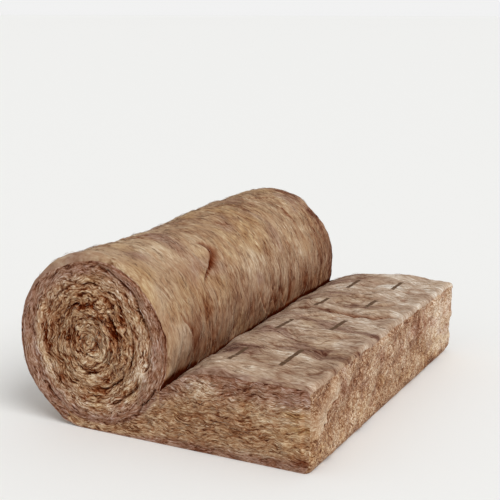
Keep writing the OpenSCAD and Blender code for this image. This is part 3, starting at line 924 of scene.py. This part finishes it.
for side, way, seed in (("near", -1, 100), ("far", 1, 200)):
    # Rings of points from the roll's outline to its core. The outline is the outer turn's, then an upright
    # line from the nip to the floor, where the laid part joins on, and the floor back to the lift-off.
    end_y = way * half_width
    nip_x, nip_z = nip_point(np.array(end_y), SHOULDER)
    nip_turn = float(nip_angle(np.array(end_y)))
    joint_height = nip_z * (1 - np.arange(1, CUT_ROWS + 1) / CUT_ROWS)
    joint = np.stack([np.full(CUT_ROWS, nip_x), np.full(CUT_ROWS, end_y), joint_height], axis=1)
    lift_x = skin_outline[side][-1, 0]
    floor_x = np.linspace(nip_x, lift_x, FLOOR_COLUMNS + 1)[1:-1]
    under = np.stack([floor_x, np.full_like(floor_x, end_y), 0 * floor_x], axis=1)
    border = np.concatenate([skin_outline[side][::-1], joint, under])
    core = np.array([roll_x, end_y, core_height])
    depth = (np.arange(RINGS) / RINGS)[:, None, None]
    wound = (border[None] + (core - border)[None] * depth).reshape(-1, 3)

    # A grid of points for the laid part, blended between its four outlines.
    left = joint[::-1][:, None]
    left = np.concatenate([left, skin_outline[side][:1, None]])
    top_line = top_outline[side][None]
    right = cut_outline[side][::-1, None]
    u = np.linspace(0, 1, top_line.shape[1])[None, :, None]
    w = np.linspace(0, 1, CUT_ROWS + 1)[:, None, None]
    bottom = left[:1] + (right[:1] - left[:1]) * u
    corners = (
        (1 - u) * (1 - w) * left[:1] + u * (1 - w) * right[:1] + (1 - u) * w * left[-1:] + u * w * right[-1:]
    )
    beside = (1 - w) * bottom + w * top_line + (1 - u) * left + u * right - corners

    # Both share the points of the upright line.
    around_count = len(border)
    wound_count = len(wound)
    points = np.concatenate([wound, core[None], beside[:, 1:].reshape(-1, 3)])
    ring_place = np.arange(wound_count).reshape(RINGS, around_count)
    ring_place = np.concatenate([ring_place, ring_place[:, :1]], axis=1)
    quads = [ring_place[:-1, :-1], ring_place[:-1, 1:], ring_place[1:, 1:], ring_place[1:, :-1]]
    quads = np.stack(quads, axis=-1).reshape(-1, 4)
    fan = np.stack([ring_place[-1, :-1], ring_place[-1, 1:], np.full(around_count, wound_count)], axis=-1)
    shared = SKIN_COLUMNS + CUT_ROWS - np.arange(CUT_ROWS + 1)
    side_place = np.arange((CUT_ROWS + 1) * (u.size - 1)).reshape(CUT_ROWS + 1, -1) + wound_count + 1
    side_place = np.concatenate([shared[:, None], side_place], axis=1)
    flat = [side_place[:-1, :-1], side_place[1:, :-1], side_place[1:, 1:], side_place[:-1, 1:]]
    flat = np.stack(flat, axis=-1).reshape(-1, 4)
    faces = [list(face)[::way] for group in (quads, fan, flat) for face in group]

    # Where each point lies in the winding: turns counts inward from the outline, and below is true in the
    # laid mat under the wound one. level is the share of the laid mat's height, and depth is the distance
    # from the mat's outer face.
    x, z = points[:, 0], points[:, 2]
    angle, radius = wound_place(x, z)
    turns = (ROLL_RADIUS - radius) / TURN - (angle - lift_off) / 360
    laid_part = np.arange(len(points)) > wound_count
    below = laid_part | ((angle > nip_turn) & (turns < 0))
    top_z = np.where(laid_part, laid_top(x, np.full_like(x, end_y), SHOULDER), np.interp(x, joint_x, joint_z))
    level = np.clip(z / np.maximum(top_z, 0.001), 0, 1)
    wound_depth = ROLL_RADIUS - radius
    into_roll = z + (wound_depth - z) * ramp(angle, 345, 360 + lift_off) * ~laid_part
    depth = np.where(below, into_roll, wound_depth)
    rim = skin_radius(angle, end_y) - shoulder_inset(angle, end_y, SHOULDER)
    edge_gap = np.where(angle < nip_turn, rim - radius, 1.0)
    edge_gap = np.where(below, z, edge_gap)
    edge_gap = np.where(laid_part, np.minimum.reduce([top_z - z, z, right[0, 0, 0] - x]), edge_gap)
    end_free = ramp(edge_gap, 0, 0.008)
    end_free[: SKIN_COLUMNS + 1] = 0
    crumpled = np.where(below, 0.8, 1.5 - 0.9 * ramp(radius, 0.10, 0.24))

    # The gaps between turns stray from a true spiral, and open and close along it.
    stray = 0.13 * bumps(x / 0.060, z / 0.060, 0.5, seed) + 0.09 * bumps(x / 0.024, z / 0.024, 0.5, seed + 1)
    stray = stray + 0.05 * bumps(x / 0.010, z / 0.010, 0.5, seed + 14)
    strayed = turns + stray
    line = np.round(strayed)
    gap_open = ramp(bumps(x / 0.045, z / 0.045, line * 3.7, seed + 2) + 0.15 * (line < 3), -0.1, 0.6)
    gap_open = np.where(line >= 1, gap_open, 0)
    under_roll = (line == 0) & (angle > nip_turn) & ~laid_part
    gap_open = np.where(under_roll, 1 - 0.8 * ramp(angle, nip_turn, nip_turn + 45), gap_open)
    gap = gap_open * bell((strayed - line) * TURN, 0, GAP_WIDTH + GAP_WIDTH * gap_open)
    gap = gap * ramp(radius, CORE_RADIUS * 0.5, CORE_RADIUS * 1.3)
    lip = bell(edge_gap, 0.005, 0.0025) * ~below * ramp(bumps(angle / 14, 0.5, way, seed + 3), -0.6, 0.3)
    part_turn = strayed - np.floor(strayed)

    # Relief that follows the layers, which are crumpled most near the core: sheets of fibre, folds, puffs and
    # splits. Real sheets are 2 to 3 mm thick; these are 7.5 mm, which is as fine as the mesh can hold.
    wrapped = depth + crumpled * (
        0.010 * bumps(x / 0.045, z / 0.045, 0.1, seed + 4)
        + 0.0045 * bumps(x / 0.017, z / 0.017, 0.1, seed + 15)
        + 0.0020 * bumps(x / 0.008, z / 0.008, 0.1, seed + 19)
    )
    sheets = layers(x / 0.032, z / 0.032, wrapped / SHEET, seed + 5, 3)
    folds = layers(x / 0.040, z / 0.040, wrapped / FOLD, seed + 8, 2)
    split_line = layers(x / 0.044, z / 0.044, wrapped / 0.0125, seed + 16, 2)
    split = bell(split_line, 0, 0.15) * ramp(bumps(x / 0.04, z / 0.04, wrapped / 0.03, seed + 18), -0.5, 0.3)
    puffs = np.abs(layers(x / 0.028, z / 0.028, wrapped / 0.016, seed + 20, 2)) ** 0.7
    laid_swell = LAID_SWELL * 4 * level * (1 - level) * ramp(x, nip_x, nip_x + 0.15)
    swell = np.where(below, laid_swell, TURN_SWELL * 4 * part_turn * (1 - part_turn))
    # zone is the radius, made larger where the sunken top draws the rim in.
    zone = radius + 0.62 * np.clip(face_radius(angle) - rim, 0, 0.055) * (angle < nip_turn)
    outer_share = 0.45 * ramp(zone, 0.15, 0.20) + 0.55 * ramp(zone, 0.215, 0.24)
    rough = np.where(below, 0.45, 1.0 - 0.50 * outer_share)
    relief = rough * (0.0022 * sheets + 0.0022 * folds + 0.0020 * puffs - 0.0044 * split)
    relief = (relief + swell - GAP_DEPTH * gap - 0.005 * lip) * end_free
    from_hole = (x - roll_x - CORE_HOLE[0]) ** 2 + (z - core_height - CORE_HOLE[1]) ** 2
    hole = np.exp(-from_hole / CORE_HOLE_RADIUS**2)
    relief = relief - CORE_HOLE_DEPTH * hole
    shift = soft_shift(points)
    points = points + shift + np.stack([0 * x, way * relief, 0 * x], axis=-1)

    # The outer turns are mauve and calm, the inner ones golden and lively. Painted shade, darker and redder,
    # fills the splits, the gaps between turns, the groove inside the rim and the hole beside the core, and
    # the sheets and puffs that stand out get painted highlights.
    painted_shade_and_red = rough * (0.75 * split - 0.26 * sheets - 0.08 * folds - 0.16 * (puffs - 0.45))
    painted_shade_and_red = painted_shade_and_red + 0.8 * gap + 0.95 * hole + 0.7 * lip
    painted_shade_and_red = painted_shade_and_red * (1 - 0.3 * ramp(zone, 0.19, 0.22) * ~below)
    painted_shade_and_red = np.clip(painted_shade_and_red, -0.7 + 0.4 * outer_share * ~below, 1.2)
    deep_ring = ramp(radius, 0.05, 0.10) * (1 - ramp(radius, 0.145, 0.18)) * ~below
    tone = np.where(below, 0.085 + 0.09 * bumps(x / 0.09, z / 0.05, 0.3, seed + 23), 0.125)
    tone = tone - 0.08 * deep_ring * ramp(bumps(x / 0.06, z / 0.06, 0.3, seed + 11), -0.5, 0.4)
    tone = tone + 0.06 * bumps(x / 0.04, z / 0.04, 0.6, seed + 12)
    tone = tone + 0.04 * (1 - ramp(radius, 0.04, 0.08)) * ~below
    tone = tone - 0.05 * ramp(zone, 0.225, 0.25) * ~below
    laid_mauve = np.maximum(ramp(level, 0.70, 0.86), 1 - ramp(level, 0.05, 0.16))
    mauve = np.where(below, laid_mauve, ramp(zone, 0.200, 0.235))
    to_corner = mat_high[0] - x
    painted_shade_and_red = painted_shade_and_red * (0.15 + 0.85 * ramp(to_corner, 0.003, 0.020))
    tone = tone + 0.05 * ramp(radius, 0.16, 0.19) * ~below
    tone = tone + 0.18 * bell(x, mat_high[0], 0.018) * ramp(z, 0.07, 0.10)
    mauve = np.clip(mauve * (0.9 + 0.3 * folds) + 0.3 * ramp(folds, 0.1, 0.6), 0, 1)
    gold = 0.6 * ramp(bumps(x / 0.07, z / 0.05, 0.8, seed + 13), 0.0, 0.7) * (1 - mauve)
    gold = np.maximum(gold, 0.45 * (1 - ramp(radius, 0.14, 0.19)) * ~below)
    gold = np.maximum(gold, 0.35 * ramp(level, 0.10, 0.20) * (1 - ramp(level, 0.60, 0.75)) * below)
    if side == "near":
        for number, (at_x, at_z, half_along, half_across, lighter, redder) in enumerate(WOUND_PATCHES):
            at_angle, at_radius = wound_place(np.array(at_x), np.array(at_z))
            along = np.radians((angle - at_angle + 180) % 360 - 180) * at_radius
            patch = np.exp(-((along / half_along) ** 2) - ((radius - at_radius) / half_across) ** 2) * ~below
            patch = np.clip(patch * (1 + 0.8 * layers(x / 0.014, z / 0.014, number, 56, 2)), 0, 1)
            tone = tone + lighter * patch
            painted_shade_and_red = painted_shade_and_red + redder * patch
        for number, row in enumerate(NEAR_PATCHES):
            at_x, at_z, half_x, half_z, lighter, redder, more_mauve, more_gold = row
            patch = np.exp(-(((x - at_x) / half_x) ** 2) - ((z - at_z) / half_z) ** 2) * laid_part
            patch = patch * (1 + 0.8 * layers(x / 0.03, z / 0.010, number, 52, 2))
            tone = tone + lighter * patch
            painted_shade_and_red = painted_shade_and_red + redder * patch
            mauve = np.clip(mauve + more_mauve * patch, 0, 1)
            gold = np.clip(gold + more_gold * patch, 0, 1)
    lay_depth = wrapped * (1 + 0.35 * below * (1 - ramp(angle, 325, 360 + lift_off)))
    make_piece(
        side + "_end",
        points,
        faces,
        end_finish,
        {
            "lay": np.stack([x, lay_depth, z], axis=-1),
            "painted_shade_and_red": painted_shade_and_red,
            "tone": tone,
            "mauve": mauve,
            "gold": gold,
            "lively": np.where(below, 0.74, 1.0 - 0.30 * outer_share),
        },
    )
    floor_lines[side] = np.concatenate([right[:1, 0], bottom[0, -2:0:-1], border[SKIN_COLUMNS + CUT_ROWS :]])
    end_grids.append(points[:wound_count].reshape(RINGS, around_count, 3))
    end_grids.append(points[wound_count + 1 :].reshape(CUT_ROWS + 1, -1, 3))


# ---------------------------------------------------------------- underside
# The face that the mat lies on, of the same brown wool, pressed flat by its own weight. It is one fan of
# faces round its middle, joined to the other pieces all round, and closes the mat from below.
near_line, far_line = (line + soft_shift(line) for line in (floor_lines["near"], floor_lines["far"]))
under = np.concatenate([near_line, skin[:, -1], far_line[-1:0:-1], cut[:0:-1, -1]])
under = np.concatenate([under, under.mean(axis=0, keepdims=True)])
border_count = len(under) - 1

# Pressed wool: the skin's browns in flat strokes, 7 mm wide for bundles of 1 to 2 mm that would not show.
UNDER_STRAND = (0.030, 0.007, 0.02)  # along the mat, across it and up
UNDER_CLUMP = (0.07, 0.04, 0.04)
under_finish = wool_finish("glass_wool_pressed_face", FACE_BROWNS, UNDER_STRAND, UNDER_CLUMP, (0, 0, 1))
# The whole underside gets an even painted shade.
make_piece(
    "underside",
    under,
    [(i, (i + 1) % border_count, border_count) for i in range(border_count)],
    under_finish,
    {"lay": under, "painted_shade_and_red": np.full(len(under), 0.2)},
)


# ---------------------------------------------------------------- loose fibres
# Strands that have pulled free of the binder and lie over each face, both their ends still held in it. A real
# one is a hundredth of a millimetre thick; these stand for small bundles, drawn thick enough to show.
FIBRE_RADIUS = 0.0006
FIBRE_SIDES = 3
FIBRE_PARTS = 5
FIBRE_ROOT = 0.0035  # how deep both its ends lie in the wool
FLOOR_CLEARANCE = 0.0003  # the least height of a fibre over the floor

draw = np.random.default_rng(12)


def strew(face, out, count, slope, length, rise, spread):
    """Lays fibres on a grid of points, along its columns but turned by about slope. out is 1 or -1."""
    rows, columns = face.shape[:2]
    i = draw.integers(6, rows - 6, count)
    j = draw.integers(6, columns - 6, count)
    down = face[i + 2, j] - face[i - 2, j]
    across = face[i, j + 2] - face[i, j - 2]
    normal = np.cross(across, down)
    normal /= np.linalg.norm(normal, axis=1, keepdims=True)
    forward = across / np.linalg.norm(across, axis=1, keepdims=True)
    sideways = np.cross(normal, forward)
    turn = slope + spread * draw.normal(size=(count, 1))
    heading = forward * np.cos(turn) + sideways * np.sin(turn)
    sideways = np.cross(normal, heading)
    reach = draw.uniform(0.4, 1.0, (count, 1)) * length
    bow = draw.uniform(-0.25, 0.25, (count, 1)) * reach
    height = draw.uniform(0.2, 1.0, (count, 1)) ** 2 * rise
    thick = draw.uniform(0.6, 1.0, (count, 1)) * FIBRE_RADIUS
    for step in range(FIBRE_PARTS + 1):
        t = step / FIBRE_PARTS
        arch = 4 * t * (1 - t)
        middle = face[i, j] + heading * reach * (t - 0.5) + sideways * bow * arch
        middle = middle + out * normal * (height * arch - FIBRE_ROOT * (1 - arch))
        girth = thick * (0.25 + 0.75 * arch)
        ring = [0] if step in (0, FIBRE_PARTS) else range(FIBRE_SIDES)
        for side_number in ring:
            turned = 2 * math.pi * side_number / FIBRE_SIDES
            off = girth * (normal * math.cos(turned) + sideways * math.sin(turned)) if len(ring) > 1 else 0
            yield middle + off


def fibre_faces():
    """Faces of one fibre: a fan at its first tip, a tube, and a fan at its last."""
    last = 1 + (FIBRE_PARTS - 1) * FIBRE_SIDES
    faces = []
    for side_number in range(FIBRE_SIDES):
        beside = (side_number + 1) % FIBRE_SIDES
        faces.append((0, 1 + side_number, 1 + beside, 1 + beside))
        for ring in range(FIBRE_PARTS - 2):
            start = 1 + ring * FIBRE_SIDES
            after = start + FIBRE_SIDES
            faces.append((start + side_number, after + side_number, after + beside, start + beside))
        start = last - FIBRE_SIDES
        faces.append((start + side_number, last, last, start + beside))
    return faces


# For each grid: which side of it is out, how many fibres, their slope in radians, their greatest length and
# rise, and how widely they are turned.
strewn = []
for face, out, count, slope, length, rise, spread in (
    (skin, -1, 2600, 0.10, 0.060, 0.0045, 0.22),
    (top, 1, 900, 0.10, 0.060, 0.0030, 0.25),
    (cut, 1, 600, 0.0, 0.020, 0.0035, 0.9),
    (end_grids[0], -1, 650, 0.0, 0.035, 0.0040, 0.35),
    (end_grids[1], 1, 300, 0.0, 0.045, 0.0030, 0.25),
    (end_grids[2], 1, 650, 0.0, 0.035, 0.0040, 0.35),
    (end_grids[3], -1, 300, 0.0, 0.045, 0.0030, 0.25),
):
    strewn.append(np.stack(list(strew(face, out, count, slope, length, rise, spread)), axis=1))
fibres = np.concatenate(strewn)
each = fibres.shape[1]
one = np.array(fibre_faces())
faces = (one[None] + each * np.arange(len(fibres))[:, None, None]).reshape(-1, 4)
faces = [list(dict.fromkeys(face.tolist())) for face in faces]
points = fibres.reshape(-1, 3)
points[:, 2] = np.maximum(points[:, 2], FLOOR_CLEARANCE)

# Each loose strand is one even shade of the skin's browns, so its own pattern is coarse and faint.
LOOSE_STRAND = (0.02, 0.02, 0.02)
LOOSE_CLUMP = (0.05, 0.05, 0.05)
fibre_finish = wool_finish(
    "glass_wool_loose_strands", FACE_BROWNS, LOOSE_STRAND, LOOSE_CLUMP, (0, 0, 1), contrast=0.4
)
make_piece(
    "loose_fibres",
    points,
    faces,
    fibre_finish,
    {"lay": points, "tone": np.repeat(draw.uniform(-0.35, 0.25, len(fibres)), each)},
)


# ---------------------------------------------------------------- floor, light and camera
# A plain pale floor and one broad soft light from the upper right, with even light from all round.
FLOOR_REACH = 200.0  # each way, so that its edge never shows
FLOOR_DROP = 0.0005
FLOOR_SHADE = "#f2f2f0"
FLOOR_ROUGHNESS = 0.9
SUN_STRENGTH = 1.75
SUN_SPREAD = 40  # degrees across, for soft shadows
SUN_FROM = (0.75, -0.35, 0.85)
EVEN_LIGHT = 0.6
BACKDROP_LIGHT = 0.885
floor_mesh = bpy.data.meshes.new("floor")
floor_mesh.from_pydata(
    [(sx * FLOOR_REACH, sy * FLOOR_REACH, -FLOOR_DROP) for sx, sy in ((-1, -1), (1, -1), (1, 1), (-1, 1))],
    [],
    [(0, 1, 2, 3)],
)
floor = bpy.data.objects.new("floor", floor_mesh)
bpy.context.scene.collection.objects.link(floor)
floor_paint = bpy.data.materials.new("pale_floor")
floor_paint.use_nodes = True
floor_paint.node_tree.nodes["Principled BSDF"].inputs["Base Color"].default_value = linear(FLOOR_SHADE)
floor_paint.node_tree.nodes["Principled BSDF"].inputs["Roughness"].default_value = FLOOR_ROUGHNESS
floor_mesh.materials.append(floor_paint)

sun_data = bpy.data.lights.new("soft_key", "SUN")
sun_data.energy = SUN_STRENGTH
sun_data.angle = math.radians(SUN_SPREAD)
sun = bpy.data.objects.new("soft_key", sun_data)
sun.rotation_euler = Vector(SUN_FROM).to_track_quat("Z", "Y").to_euler()
bpy.context.scene.collection.objects.link(sun)

world = bpy.data.worlds.new("studio")
world.use_nodes = True
world.node_tree.nodes["Background"].inputs["Color"].default_value = (1, 1, 1, 1)
even_light = world.node_tree.nodes["Background"]
even_light.inputs["Strength"].default_value = EVEN_LIGHT
backdrop = add(world.node_tree, "Background", {"Color": (1, 1, 1, 1), "Strength": BACKDROP_LIGHT})
seen_directly = add(world.node_tree, "LightPath").outputs["Is Camera Ray"]
both = {0: seen_directly, 1: even_light.outputs[0], 2: backdrop.outputs[0]}
chosen = add(world.node_tree, "MixShader", both)
world.node_tree.links.new(chosen.outputs[0], world.node_tree.nodes["World Output"].inputs["Surface"])
bpy.context.scene.world = world
bpy.context.scene.view_settings.view_transform = "Standard"

# A long lens at standing height, off the near end of the roll and to the right of it, so that the wound
# end, the roll's face, the laid mat's top and its cut end all show.
CAMERA_BEYOND_CUT_END = 1.047
CAMERA_BEYOND_NEAR_END = 2.400
CAMERA_HEIGHT = 1.188
CAMERA_LENS = 77.48
CAMERA_TURN = 27.185  # degrees to the left of straight along the roll
CAMERA_TILT = 12.587  # degrees below level

camera_data = bpy.data.cameras.new("camera")
camera_data.sensor_width = 36
camera_data.lens = CAMERA_LENS
camera = bpy.data.objects.new("camera", camera_data)
camera.location = (mat_high[0] + CAMERA_BEYOND_CUT_END, mat_low[1] - CAMERA_BEYOND_NEAR_END, CAMERA_HEIGHT)
camera.rotation_euler = (math.radians(90 - CAMERA_TILT), 0, math.radians(CAMERA_TURN))
bpy.context.scene.collection.objects.link(camera)
bpy.context.scene.camera = camera
